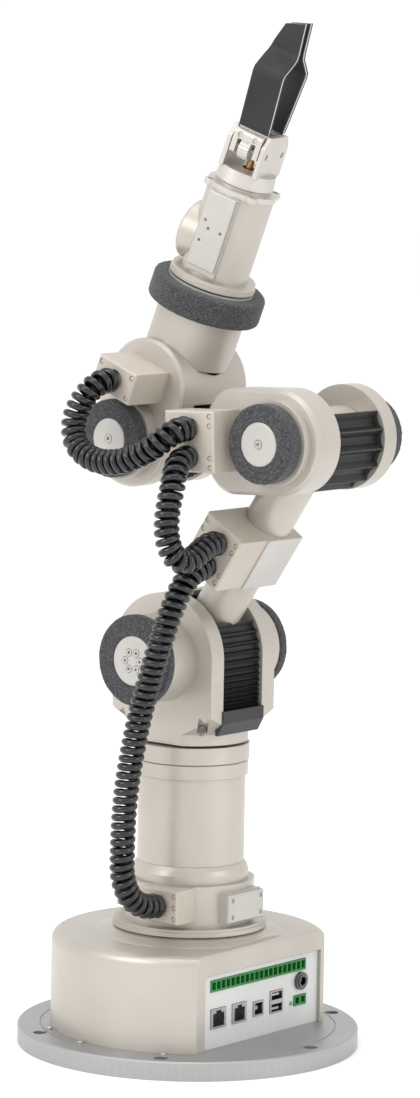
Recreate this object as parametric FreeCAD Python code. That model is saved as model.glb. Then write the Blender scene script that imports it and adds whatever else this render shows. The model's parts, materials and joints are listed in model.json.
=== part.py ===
"""Six-axis desktop robot arm with a two-finger gripper, built as separate pieces.

Frame: origin at the centre of the base plate's underside, on the base yaw axis. +Z is up,
+X is the way the connector panel faces and the way the upper arm leans. Pitch axes run along Y.
Lengths are in millimetres and angles in degrees.
"""
import FreeCAD, Part
import math
import os

V = FreeCAD.Vector
AXIS_X = V(1, 0, 0)
AXIS_Y = V(0, 1, 0)
AXIS_Z = V(0, 0, 1)
ORIGIN = V(0, 0, 0)

# Driving dimensions of the arm
SHOULDER_HEIGHT = 280.6      # shoulder pitch axis above the underside
UPPER_ARM_LENGTH = 190.0     # shoulder axis to elbow axis
FOREARM_LENGTH = 139.0       # elbow axis to wrist axis
UPPER_ARM_LEAN = 33.7        # leans from vertical towards +X at rest
FOREARM_LEAN = -92.4
HAND_LEAN = 21.7
ROLL_AT_REST = 11.5          # turn of the gripper about the hand's axis at rest
RUNNING_GAP = 0.05           # radial clearance of a shaft in its bearing
BODY_GAP = 0.6               # side clearance between bodies that turn past each other

# Base
PLATE_R = 121.5
PLATE_T = 13.5
HOUSING_R = 98.0
HOUSING_TOP = 81.0
PANEL_X = 66.7               # flat face of the housing that carries the connectors
FLANGE_BOTTOM = 86.2
FLANGE_R = 55.0
COLLAR_R = 45.7
COLLAR_TOP = 120.5
TUBE_R = 38.0
BULGE_R = 41.4
BULGE_TOP = 133.0
TOP_RING_BOTTOM = 195.0
TOP_RING_SPLIT = 205.4
TOP_RING_R = 40.6
YAW_PLANE = 217.7            # bottom of the dark gap where the turret turns

# Turret and shoulder
TURRET_HALF_X = 45.0
TURRET_HALF_Y = 35.0
WINDOW_HALF_Y = 21.5
TURRET_FLOOR = 244.0         # top of the turret's floor, under the swinging hub
SHOULDER_BOSS_R = 31.0
SHOULDER_PAD_IN = 58.4       # foam pad, from and to, along Y
SHOULDER_PAD_OUT = 66.5
SHOULDER_PAD_R = 32.2
SHOULDER_CAP_R = 17.4

# Upper arm
ARM_TUBE_R = 17.0
SHOULDER_HUB_R = 31.0
ARM_SHAFT_R = 9.0
ARM_BOX = (-18.0, 18.0, -48.0, 19.0, 75.0, 117.0)

# Elbow and forearm
ELBOW_R = 36.5
ELBOW_CHEEK_OUT = 44.0
ELBOW_BOSS_OUT = 51.0
ELBOW_LEFT_IN = 20.0
ELBOW_RIGHT_IN = 30.0
ELBOW_PAD_OUT = 63.2
ELBOW_PAD_R = 27.4
ELBOW_CAP_R = 15.1
ELBOW_TONGUE = 62.0          # left cheek reaches this far towards the wrist
FOREARM_BOX = (-20.0, 22.0, -72.0, -44.0, 32.5, 75.5)

# Wrist and hand
WRIST_R = 35.0
WRIST_HALF_Y = 36.0
WRIST_WINDOW = 21.0
WRIST_PAD_IN = 47.3
WRIST_PAD_OUT = 56.5
WRIST_PAD_R = 27.4
WRIST_CAP_R = 14.2
WRIST_TOP = 66.0
HAND_TUBE_R = 31.0
HAND_TUBE_TOP = 118.5
FOAM_RING_R = 40.5
FOAM_RING_LOW = 98.0
FOAM_RING_HIGH = 117.0
WRIST_BOX = (-18.5, 17.5, -72.0, -36.0, 34.5, 57.5)

# Gripper
BARREL_LOW = 119.7
BARREL_R = 24.0
BARREL_TOP = 187.0
POD_R = 21.5
POD_REACH = 28.0
POD_HEIGHT = 148.0
GRIPPER_TOP = 233.0
FINGER_PIN_Y = 11.5
FINGER_PIN_Z = 219.0
FINGER_HALF_WIDTH = 11.6
FINGER_TIP = 312.0
WORM_R = 3.4

# Coiled leads and the cable boxes they plug into
COIL_R = 9.0
PORT_R = COIL_R - 2.0
PORT_DEPTH = 7.0
BASE_PORT = (15.5, 108.5)                  # x and z in the row frame
ARM_PORTS = ((2.5, 105.5), (4.5, 86.0))    # x and z in the upper arm's own frame
FOREARM_PORTS = ((10.3, 53.0), (-9.7, 53.0))
WRIST_PORT = (-0.5, 46.0)

# Pitch gearmotors, sealed in the cheeks on the -Y side
MOTOR_BORE_R = ARM_SHAFT_R + 0.4


def box(x0, x1, y0, y1, z0, z1):
    return Part.makeBox(x1 - x0, y1 - y0, z1 - z0, V(x0, y0, z0))


def cylinder(r, z0, z1, x=0.0, y=0.0):
    return Part.makeCylinder(r, z1 - z0, V(x, y, z0), AXIS_Z)


def cylinder_y(r, y0, y1, x=0.0, z=0.0):
    return Part.makeCylinder(r, y1 - y0, V(x, y0, z), AXIS_Y)


def cylinder_x(r, x0, x1, y=0.0, z=0.0):
    return Part.makeCylinder(r, x1 - x0, V(x0, y, z), AXIS_X)


def ring(r_out, r_in, z0, z1):
    return cylinder(r_out, z0, z1).cut(cylinder(r_in, z0 - 1, z1 + 1))


def prism_y(points, y0, y1):
    """Extrude a closed outline of (x, z) points along Y."""
    corners = [V(x, y0, z) for x, z in points]
    face = Part.Face(Part.makePolygon(corners + corners[:1]))
    return face.extrude(V(0, y1 - y0, 0))


def prism_z(points, z0, z1):
    """Extrude a closed outline of (x, y) points along Z."""
    corners = [V(x, y, z0) for x, y in points]
    face = Part.Face(Part.makePolygon(corners + corners[:1]))
    return face.extrude(V(0, 0, z1 - z0))


def turned(profile):
    """Revolve a closed outline of (radius, z) points about Z."""
    corners = [V(r, 0, z) for r, z in profile]
    face = Part.Face(Part.makePolygon(corners + corners[:1]))
    return face.revolve(ORIGIN, AXIS_Z, 360)


def turned_y(profile):
    """Revolve a closed outline of (radius, y) points about Y."""
    solid = turned(profile)
    solid.rotate(ORIGIN, AXIS_X, -90)
    return solid


def mirror_y(shape):
    return shape.mirror(ORIGIN, AXIS_Y)


def round_edges(shape, radius, chosen):
    edges = [edge for edge in shape.Edges if chosen(edge)]
    return shape.makeFillet(radius, edges)


def bevel_edges(shape, size, chosen):
    edges = [edge for edge in shape.Edges if chosen(edge)]
    return shape.makeChamfer(size, edges)


def flat_at(axis, value, tolerance=0.05):
    """Pick edges that lie wholly in the plane where the named coordinate has the value."""
    def chosen(edge):
        limits = edge.BoundBox
        low = getattr(limits, axis + "Min")
        high = getattr(limits, axis + "Max")
        return abs(low - value) < tolerance and abs(high - value) < tolerance
    return chosen


def placed(shape, joint, lean, roll=0.0):
    """Carry a shape from its link's own frame (Z along the link) to where the link stands at rest."""
    result = shape.copy()
    result.rotate(ORIGIN, AXIS_Z, roll)
    result.rotate(ORIGIN, AXIS_Y, lean)
    result.translate(joint)
    return result


def along(joint, lean, length):
    angle = math.radians(lean)
    return joint + V(math.sin(angle), 0, math.cos(angle)) * length


SHOULDER = V(0, 0, SHOULDER_HEIGHT)
ELBOW = along(SHOULDER, UPPER_ARM_LEAN, UPPER_ARM_LENGTH)
WRIST = along(ELBOW, FOREARM_LEAN, FOREARM_LENGTH)


def on_turret(shape):
    return placed(shape, SHOULDER, 0.0)


def on_upper_arm(shape):
    return placed(shape, SHOULDER, UPPER_ARM_LEAN)


def on_forearm(shape):
    return placed(shape, ELBOW, FOREARM_LEAN)


def on_hand(shape):
    return placed(shape, WRIST, HAND_LEAN)


def on_gripper(shape):
    return placed(shape, WRIST, HAND_LEAN, ROLL_AT_REST)


def socket_screw(head_r, head_h, shank_r, shank_l):
    """A cap screw with a hexagon socket, head up, its seat at z = 0."""
    head = cylinder(head_r, 0, head_h)
    corners = [(head_r * 0.5 * math.cos(k * math.pi / 3), head_r * 0.5 * math.sin(k * math.pi / 3))
               for k in range(6)]
    head = head.cut(prism_z(corners, head_h * 0.4, head_h + 1))
    return head.fuse(cylinder(shank_r, -shank_l, 0.1)).removeSplitter()


def screw_towards(direction, seat, size=(2.6, 2.4, 1.3, 5.0)):
    screw = socket_screw(*size)
    turn = FreeCAD.Rotation(AXIS_Z, direction)
    screw.Placement = FreeCAD.Placement(seat, turn)
    return screw


def save(name, *solids):
    shape = solids[0] if len(solids) == 1 else Part.makeCompound(list(solids))
    shape.exportStep("parts/" + name + ".step")


# ---------------------------------------------------------------- base

BOLT_PCD = 222.0
BOLT_COUNT = 6
BOLT_STEP = 360 / BOLT_COUNT
BOLT_R = 2.75
BOLT_HEAD_R = 5.0
BOLT_HEAD_DEPTH = 5.5
GROOVE_R = 105.25
BASE_SCREW_ANGLES = (100, 145, 190, 235, 262, 300)
BASE_SCREW_R = 2.2
BASE_SCREW_RING = HOUSING_R + 3.4


def polar(radius, degrees, z=0.0):
    angle = math.radians(degrees)
    return V(radius * math.cos(angle), radius * math.sin(angle), z)


def build_base_plate():
    plate = bevel_edges(cylinder(PLATE_R, 0, PLATE_T), 1.0, flat_at("Z", PLATE_T))
    plate = plate.cut(ring(GROOVE_R + 0.35, GROOVE_R - 0.35, PLATE_T - 0.6, PLATE_T + 1))
    for k in range(BOLT_COUNT):
        bolt = polar(BOLT_PCD / 2, k * BOLT_STEP)
        plate = plate.cut(cylinder(BOLT_R, -1, PLATE_T + 1, bolt.x, bolt.y))
        plate = plate.cut(cylinder(BOLT_HEAD_R, PLATE_T - BOLT_HEAD_DEPTH, PLATE_T + 1, bolt.x, bolt.y))
    return plate


def housing_outline(radius, flat_x, z0, z1):
    """A round drum cut off by the flat connector face."""
    drum = cylinder(radius, z0, z1)
    return drum.common(box(-radius - 1, flat_x, -radius - 1, radius + 1, z0, z1))


PANEL_Y0 = -62.5
PANEL_Y1 = 67.5
PANEL_TOP = 66.0
PANEL_RECESS = 2.5
PANEL_T = 2.0
WALL = 3.0


def build_housing():
    outer = housing_outline(HOUSING_R, PANEL_X, PLATE_T, HOUSING_TOP)
    outer = round_edges(outer, 7.0, lambda edge: flat_at("Z", HOUSING_TOP)(edge) and edge.Length > 150)
    outer = round_edges(outer, 2.0, lambda edge: abs(edge.BoundBox.XMin - PANEL_X) < 0.05
                        and abs(edge.BoundBox.XMax - PANEL_X) < 0.05
                        and edge.BoundBox.ZMax > HOUSING_TOP - 3 and edge.BoundBox.YLength > 60)
    neck = turned([(0, HOUSING_TOP - 4), (76, HOUSING_TOP - 4), (66, HOUSING_TOP + 0.6),
                   (58, HOUSING_TOP + 2.4), (51, FLANGE_BOTTOM), (0, FLANGE_BOTTOM)])
    neck = neck.common(box(-90, PANEL_X - 6, -90, 90, 0, 200))
    outer = outer.fuse(neck)
    inner = housing_outline(HOUSING_R - WALL, PANEL_X - WALL, PLATE_T - 1, HOUSING_TOP - WALL - 4)
    window = box(PANEL_X - WALL - 1, PANEL_X + 1, PANEL_Y0, PANEL_Y1, PLATE_T - 1, PANEL_TOP)
    cable_way = cylinder(20, HOUSING_TOP - 10, FLANGE_BOTTOM + 1)
    return outer.cut(inner).cut(window).cut(cable_way)


PANEL_FACE = PANEL_X - PANEL_RECESS
STRIP = (-54.0, 52.6, 53.6, 62.0)          # y from, y to, z from, z to
NETWORK_JACKS = ((-53.5, -36.8, 27.2, 41.6), (-29.9, -14.0, 27.2, 41.6))
USB_SOCKETS = ((-6.4, 5.2, 28.4, 39.4), (12.6, 27.2, 27.4, 43.8))
POWER_PLUG = (39.8, 53.6, 28.6, 36.2)
POWER_JACK_AT = (47.0, 46.2)
POWER_JACK_R = 4.6
LAMP_AT = (36.9, 31.2)


def panel_hole(y0, y1, z0, z1):
    return box(PANEL_FACE - PANEL_T - 1, PANEL_FACE + 1, y0, y1, z0, z1)


def build_panel():
    panel = box(PANEL_FACE - PANEL_T, PANEL_FACE, PANEL_Y0 + 0.2, PANEL_Y1 - 0.2,
                PLATE_T, PANEL_TOP - 0.2)
    for spot in (STRIP, POWER_PLUG) + NETWORK_JACKS + USB_SOCKETS:
        panel = panel.cut(panel_hole(*spot))
    panel = panel.cut(cylinder_x(POWER_JACK_R, PANEL_FACE - 5, PANEL_FACE + 1, *POWER_JACK_AT))
    return panel.cut(cylinder_x(1.5, PANEL_FACE - 5, PANEL_FACE + 1, *LAMP_AT))


def socket_body(y0, y1, z0, z1, mouths, depth=12.0, length=16.0):
    """A connector shell standing in its panel hole, with open mouths facing +X."""
    shell = box(PANEL_FACE - length, PANEL_FACE + 0.8, y0 + 0.1, y1 - 0.1, z0 + 0.1, z1 - 0.1)
    for mouth in mouths:
        shell = shell.cut(box(PANEL_FACE + 0.8 - depth, PANEL_FACE + 2, *mouth))
    return shell


def build_terminal_strip():
    y0, y1, z0, z1 = STRIP
    ways = 20
    pitch = (y1 - y0 - 1.0) / ways
    mouths = []
    for k in range(ways):
        start = y0 + 0.5 + k * pitch
        mouths.append((start + 0.7, start + pitch - 0.7, z0 + 1.6, z1 - 1.4))
    return socket_body(*STRIP, mouths, depth=7.0, length=11.0)


def build_power_plug():
    y0, y1, z0, z1 = POWER_PLUG
    middle = (y0 + y1) / 2
    mouths = [(y0 + 1.6, middle - 1.2, z0 + 1.6, z1 - 1.6), (middle + 1.2, y1 - 1.6, z0 + 1.6, z1 - 1.6)]
    return socket_body(*POWER_PLUG, mouths, depth=7.0, length=11.0)


def build_network_jack(spot):
    y0, y1, z0, z1 = spot
    mouth = (y0 + 2.2, y1 - 2.2, z0 + 1.6, z1 - 3.4)
    latch = (y0 + 5.6, y1 - 5.6, z1 - 3.5, z1 - 1.6)
    return socket_body(*spot, [mouth, latch])


def build_usb_sockets():
    square, stack = USB_SOCKETS
    y0, y1, z0, z1 = square
    first = socket_body(*square, [(y0 + 1.4, y1 - 1.4, z0 + 1.4, z1 - 1.4)])
    first = first.fuse(box(PANEL_FACE - 12, PANEL_FACE - 2, y0 + 3.4, y1 - 3.4, z0 + 4, z1 - 4))
    y0, y1, z0, z1 = stack
    mouths = [(y0 + 1.2, y1 - 1.2, z0 + 1.2, z0 + 6.6), (y0 + 1.2, y1 - 1.2, z1 - 6.6, z1 - 1.2)]
    second = socket_body(*stack, mouths)
    for low in (z0 + 2.2, z1 - 4.2):
        second = second.fuse(box(PANEL_FACE - 12, PANEL_FACE - 1, y0 + 2.4, y1 - 2.4, low, low + 1.8))
    return first.removeSplitter(), second.removeSplitter()


def build_power_jack():
    y, z = POWER_JACK_AT
    barrel = cylinder_x(POWER_JACK_R - 0.1, PANEL_FACE - 12, PANEL_FACE + 3, y, z)
    nut = cylinder_x(6.4, PANEL_FACE, PANEL_FACE + 2.2, y, z)
    mouth = cylinder_x(3.1, PANEL_FACE - 8, PANEL_FACE + 4, y, z)
    pin = cylinder_x(1.0, PANEL_FACE - 9, PANEL_FACE + 1, y, z)
    return barrel.fuse(nut).cut(mouth).fuse(pin).removeSplitter()


def build_board():
    board = box(-60, PANEL_FACE - 16.5, -58, 58, 20, 21.6)
    for x, y, wide, tall in ((-30, -20, 24, 8), (10, 20, 14, 5), (-35, 30, 18, 12), (15, -35, 10, 10)):
        board = board.fuse(box(x, x + wide, y, y + wide, 21.5, 21.5 + tall))
    for x, y in ((-55, -53), (-55, 53), (40, -53), (40, 53)):
        board = board.fuse(cylinder(3.0, PLATE_T, 20.1, x, y))
    return board.removeSplitter()


def build_base_screws():
    """Low countersunk screws round the foot of the housing, flush in the plate's top."""
    screws = []
    for angle in BASE_SCREW_ANGLES:
        spot = polar(BASE_SCREW_RING, angle)
        head = cylinder(BASE_SCREW_R, PLATE_T, PLATE_T + 1.4, spot.x, spot.y)
        screws.append(bevel_edges(head, 0.5, flat_at("Z", PLATE_T + 1.4)))
    return screws


COLLAR_BOX = (-1.0, 32.0, -53.0, -33.0, 96.0, 120.0)
COVER_X = 52.0


def build_collar():
    flange = ring(FLANGE_R, 20, FLANGE_BOTTOM, FLANGE_BOTTOM + 3.2)
    step = ring(FLANGE_R - 1.2, 20, FLANGE_BOTTOM + 3.2, FLANGE_BOTTOM + 5.0)
    drum = ring(COLLAR_R, 30, FLANGE_BOTTOM + 5.0, COLLAR_TOP)
    pad_front = box(30, COVER_X - 3, -19, 19, 95, 116)
    pad_rear = box(-COVER_X + 3, -30, -19, 19, 95, 116)
    pad_side = box(1, 30, -COLLAR_R - 1, -32, 97, 119)
    collar = flange.fuse(step).fuse(drum).fuse(pad_front).fuse(pad_rear).fuse(pad_side)
    collar = collar.cut(cylinder(30, 91.5, COLLAR_TOP + 1)).removeSplitter()
    return collar.cut(box(*COLLAR_BOX))


def build_cable_box(limits, ports, screws, bevel=1.2):
    """A moulded box with round sockets in its -Y face, where coiled leads go in."""
    x0, x1, y0, y1, z0, z1 = limits
    shell = box(*limits)
    shell = bevel_edges(shell, bevel, flat_at("Y", y0))
    for x, z in ports:
        shell = shell.cut(cylinder_y(PORT_R, y0 - 1, y0 + PORT_DEPTH, x, z))
    for x, z in screws:
        shell = shell.cut(cylinder_y(1.9, y0 - 1, y0 + 1.6, x, z))
        shell = shell.fuse(cylinder_y(1.5, y0 + 0.5, y0 + 2.0, x, z))
    return shell.removeSplitter()


def build_collar_covers():
    covers = []
    front = bevel_edges(box(COVER_X - 3, COVER_X, -19.5, 19.5, 95, 115), 0.8, flat_at("X", COVER_X))
    for y, z in ((-15.5, 111), (-15.5, 99), (15.5, 111), (15.5, 99)):
        front = front.cut(cylinder_x(1.6, COVER_X - 1.0, COVER_X + 1, y, z))
    covers.append(front)
    covers.append(front.mirror(ORIGIN, AXIS_X))
    return covers


def build_column_rings():
    bulge = turned([(TUBE_R + 0.02, COLLAR_TOP), (BULGE_R, COLLAR_TOP), (BULGE_R, COLLAR_TOP + 6),
                    (BULGE_R - 1.2, BULGE_TOP - 3), (TUBE_R + 0.02, BULGE_TOP)])
    lower = ring(TOP_RING_R - 0.8, TUBE_R + 0.02, TOP_RING_BOTTOM, TOP_RING_SPLIT - 0.4)
    upper = ring(TOP_RING_R, 26, TOP_RING_SPLIT + 0.4, YAW_PLANE)
    upper = upper.cut(cylinder(TUBE_R + 0.02, TOP_RING_SPLIT - 1, TOP_RING_SPLIT + 5))
    return bulge, lower, upper


def build_base():
    save("base_plate", build_base_plate())
    save("base_housing", build_housing())
    save("connector_panel", build_panel())
    save("terminal_blocks", build_terminal_strip(), build_power_plug())
    save("network_jacks", *[build_network_jack(spot) for spot in NETWORK_JACKS])
    save("usb_sockets", *build_usb_sockets())
    save("power_jack", build_power_jack())
    save("status_lamp", cylinder_x(1.4, PANEL_FACE - 4, PANEL_FACE + 0.5, *LAMP_AT))
    save("controller_board", build_board())
    save("base_screws", *build_base_screws())
    save("column_collar", build_collar())
    x0, x1, y0, y1, z0, z1 = COLLAR_BOX
    save("base_cable_box", build_cable_box(COLLAR_BOX, [BASE_PORT],
                                           [(x1 - 3.2, z0 + 4), (x1 - 3.2, z0 + 12), (x1 - 3.2, z1 - 4)]))
    save("collar_covers", *build_collar_covers())
    save("column_tube", ring(TUBE_R, TUBE_R - 3, COLLAR_TOP, TOP_RING_SPLIT + 4.8))
    save("column_rings", *build_column_rings())
    motor = cylinder(20, 130, 190).fuse(cylinder(25, 190, 210)).fuse(cylinder(35, 186, 189))
    save("yaw_motor", motor.fuse(cylinder(8, 210, YAW_PLANE - 2)).removeSplitter())


# ---------------------------------------------------------------- turret and shoulder

SHOULDER_MOTOR = (25.0, -57.0, -38.0)       # radius, y from, y to
SHOULDER_SHAFT_END = SHOULDER_PAD_IN - 8
CORNER_SCREW = (3.2, 3.0, 1.6, 3.0)         # head radius and height, shank radius and length
CORNER_SCREW_AT = (30.5, 27.0, YAW_PLANE + 12)
CORNER_SCREW_RISE = 1.2


def turret_outline(half_x, half_y, z_low):
    """Cheek profile: upright sides under a round top about the shoulder axis."""
    body = box(-half_x, half_x, -half_y, half_y, z_low, 0)
    return body.fuse(cylinder_y(half_x, -half_y, half_y)).removeSplitter()


def build_turret_housing():
    low = YAW_PLANE + 1.6 - SHOULDER_HEIGHT
    body = turret_outline(TURRET_HALF_X, TURRET_HALF_Y, low)
    waist = turned([(0, low), (39.5, low), (39.5, low + 8), (63, low + 27), (63, 60), (0, 60)])
    body = body.common(waist)
    boss = cylinder_y(SHOULDER_BOSS_R, -SHOULDER_PAD_IN, SHOULDER_PAD_IN)
    body = body.fuse(boss).removeSplitter()
    slot = box(-70, 70, -WINDOW_HALF_Y, WINDOW_HALF_Y, TURRET_FLOOR - SHOULDER_HEIGHT, 60)
    body = body.cut(slot)
    chin = box(TURRET_HALF_X - 6, 70, -WINDOW_HALF_Y - 1, WINDOW_HALF_Y + 1, low + 8,
               TURRET_FLOOR - SHOULDER_HEIGHT + 1)
    body = body.cut(chin)
    bore = cylinder_y(ARM_SHAFT_R + RUNNING_GAP, -SHOULDER_PAD_IN + 6, SHOULDER_PAD_IN - 6)
    body = body.cut(bore).cut(cylinder_y(*SHOULDER_MOTOR))
    spigot = cylinder(22, YAW_PLANE - 2 - SHOULDER_HEIGHT, low + 0.1)
    return body.fuse(spigot).removeSplitter()


def build_turret_chin():
    low = YAW_PLANE + 1.6 - SHOULDER_HEIGHT
    top = TURRET_FLOOR - SHOULDER_HEIGHT + 1.0
    x0 = TURRET_HALF_X - 6
    x1 = TURRET_HALF_X + 1.0
    outline = [(x0, low + 8), (x0 + 2, low + 8), (x1, low + 17), (x1, top), (x0, top)]
    return prism_y(outline, -WINDOW_HALF_Y - 1, WINDOW_HALF_Y + 1)


def arc_band(r_out, r_in, y0, y1, start, stop, steps=14):
    """Part of a tube about Y, from one polar angle to another, measured from +X towards +Z."""
    outline = []
    for k in range(steps + 1):
        angle = math.radians(start + (stop - start) * k / steps)
        outline.append((r_out * math.cos(angle), r_out * math.sin(angle)))
    for k in range(steps, -1, -1):
        angle = math.radians(start + (stop - start) * k / steps)
        outline.append((r_in * math.cos(angle), r_in * math.sin(angle)))
    return prism_y(outline, y0, y1)


def gearmotor(radius, y_from, y_to, shaft_end):
    """A flat pancake gearmotor on the -Y side, hollow where the joint's shaft enters it."""
    body = cylinder_y(radius, y_from, y_to)
    return body.cut(cylinder_y(MOTOR_BORE_R, -shaft_end - 0.4, y_to + 1))


def build_pads(r, y_in, y_out, cap_r):
    """A pair of round foam pads, one on each side, open in the middle for the cap."""
    hole = cap_r + 0.02
    pad = turned_y([(hole, y_in), (r, y_in), (r, y_out - 1.5), (r - 1.5, y_out), (hole, y_out)])
    return pad, mirror_y(pad)


def build_cap(r, y_in, y_out, screw_ring, screw_count, screw_r):
    cap = bevel_edges(cylinder_y(r, y_in, y_out), 0.6, flat_at("Y", y_out))
    for k in range(screw_count):
        angle = 2 * math.pi * k / screw_count
        spot = (screw_ring * math.cos(angle), screw_ring * math.sin(angle))
        cap = cap.cut(cylinder_y(screw_r + 0.3, y_out - 2.2, y_out + 1, *spot))
        cap = cap.cut(cylinder_y(screw_r * 0.5, y_in + 0.5, y_out, *spot))
    return cap


def build_cap_screws(y_out, screw_ring, screw_count, screw_r):
    screws = []
    for k in range(screw_count):
        angle = 2 * math.pi * k / screw_count
        spot = V(screw_ring * math.cos(angle), y_out - 2.2, screw_ring * math.sin(angle))
        screws.append(screw_towards(AXIS_Y, spot, (screw_r, 2.4, screw_r * 0.45, 3.0)))
    return screws


def build_turret():
    housing = on_turret(build_turret_housing())
    corner_screws = []
    for x in (-1, 1):
        for y in (-1, 1):
            outward = V(x, y, CORNER_SCREW_RISE)
            seat = V(x * CORNER_SCREW_AT[0], y * CORNER_SCREW_AT[1], CORNER_SCREW_AT[2])
            screw = screw_towards(outward, seat, CORNER_SCREW)
            housing = housing.cut(Part.makeCylinder(CORNER_SCREW[0] + 0.5, 14, seat, outward)).cut(screw)
            corner_screws.append(screw)
    save("turret_housing", housing)
    save("turret_screws", *corner_screws)
    save("turret_chin", on_turret(build_turret_chin()))
    save("shoulder_motor", on_turret(gearmotor(*SHOULDER_MOTOR, SHOULDER_SHAFT_END)))
    reach = WINDOW_HALF_Y - 0.7
    front = arc_band(42.0, 35.0, -reach, reach, -38, 25)
    rear = arc_band(42.0, 35.0, -reach, reach, 88, 215)
    save("shoulder_bellows", on_turret(front), on_turret(rear))
    pads = build_pads(SHOULDER_PAD_R, SHOULDER_PAD_IN, SHOULDER_PAD_OUT, SHOULDER_CAP_R)
    save("shoulder_foam_pads", *[on_turret(pad) for pad in pads])
    cap = build_cap(SHOULDER_CAP_R, SHOULDER_PAD_IN, 67.2, 6.6, 6, 2.5)
    save("shoulder_caps", on_turret(cap), on_turret(mirror_y(cap)))
    screws = build_cap_screws(67.2, 6.6, 6, 2.5)
    save("shoulder_cap_screws", *[on_turret(s) for s in screws], *[on_turret(mirror_y(s)) for s in screws])


# ---------------------------------------------------------------- upper arm

def build_upper_arm():
    half = WINDOW_HALF_Y - BODY_GAP
    hub = cylinder_y(SHOULDER_HUB_R, -half, half)
    tube = cylinder(ARM_TUBE_R, 0, UPPER_ARM_LENGTH)
    shaft = cylinder_y(ARM_SHAFT_R, -SHOULDER_SHAFT_END, SHOULDER_SHAFT_END)
    elbow_hub = cylinder_y(22.0, -ELBOW_LEFT_IN + BODY_GAP, ELBOW_RIGHT_IN - BODY_GAP, 0, UPPER_ARM_LENGTH)
    elbow_shaft = cylinder_y(ARM_SHAFT_R, -ELBOW_SHAFT_END, ELBOW_CHEEK_OUT - 4, 0, UPPER_ARM_LENGTH)
    arm = hub.fuse(tube).fuse(shaft).fuse(elbow_hub).fuse(elbow_shaft)
    arm = arm.cut(cylinder(ARM_TUBE_R - 3.0, 36, UPPER_ARM_LENGTH - 26))
    save("upper_arm_casting", on_upper_arm(arm.removeSplitter()))
    x0, x1, y0, y1, z0, z1 = ARM_BOX
    screws = [(x1 - 3.2, z1 - 5), (x1 - 3.2, z1 - 11), (x1 - 3.2, z0 + 5), (x1 - 3.2, z0 + 11),
              (x0 + 3.2, z1 - 5), (x0 + 3.2, z1 - 12)]
    shell = build_cable_box(ARM_BOX, ARM_PORTS, screws)
    shell = shell.cut(cylinder(ARM_TUBE_R + 0.02, z0 - 1, z1 + 1))
    plate = box(x1 + 0.1, x1 + 1.3, -18.0, y1, z0 - 1.0, z1)
    save("upper_cable_box", *[on_upper_arm(part) for part in shell.Solids])
    save("upper_box_plate", on_upper_arm(bevel_edges(plate, 0.5, flat_at("X", x1 + 1.3))))


# ---------------------------------------------------------------- elbow and forearm

ELBOW_SHAFT_END = ELBOW_CHEEK_OUT - 6
ELBOW_MOTOR = (24.0, -49.6, -24.0)


def build_elbow_housing():
    left = cylinder_y(ELBOW_R, -ELBOW_CHEEK_OUT, -ELBOW_LEFT_IN)
    tongue = box(-ELBOW_R, ELBOW_R, -ELBOW_CHEEK_OUT, -ELBOW_LEFT_IN, 0, ELBOW_TONGUE)
    corner = 24.0
    tongue = round_edges(tongue, corner, lambda edge: edge.BoundBox.YLength > 20
                         and abs(edge.BoundBox.ZMin - ELBOW_TONGUE) < 0.05)
    left = left.fuse(tongue).removeSplitter()
    left = bevel_edges(left, 2.5, flat_at("Y", -ELBOW_CHEEK_OUT))
    left = left.fuse(cylinder_y(ELBOW_PAD_R + 2.5, -ELBOW_BOSS_OUT, -ELBOW_CHEEK_OUT + 1))
    right = cylinder_y(ELBOW_R, ELBOW_RIGHT_IN, ELBOW_CHEEK_OUT + 2)
    right = bevel_edges(right, 2.5, flat_at("Y", ELBOW_CHEEK_OUT + 2))
    right = right.fuse(cylinder_y(ELBOW_PAD_R + 1.5, ELBOW_CHEEK_OUT, ELBOW_BOSS_OUT))
    bore_left = cylinder_y(ARM_SHAFT_R + RUNNING_GAP, -ELBOW_CHEEK_OUT + 4, -ELBOW_LEFT_IN + 1)
    bore_right = cylinder_y(ARM_SHAFT_R + RUNNING_GAP, ELBOW_RIGHT_IN - 1, ELBOW_CHEEK_OUT - 2)
    return left.cut(bore_left).cut(cylinder_y(*ELBOW_MOTOR)), right.cut(bore_right)


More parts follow.
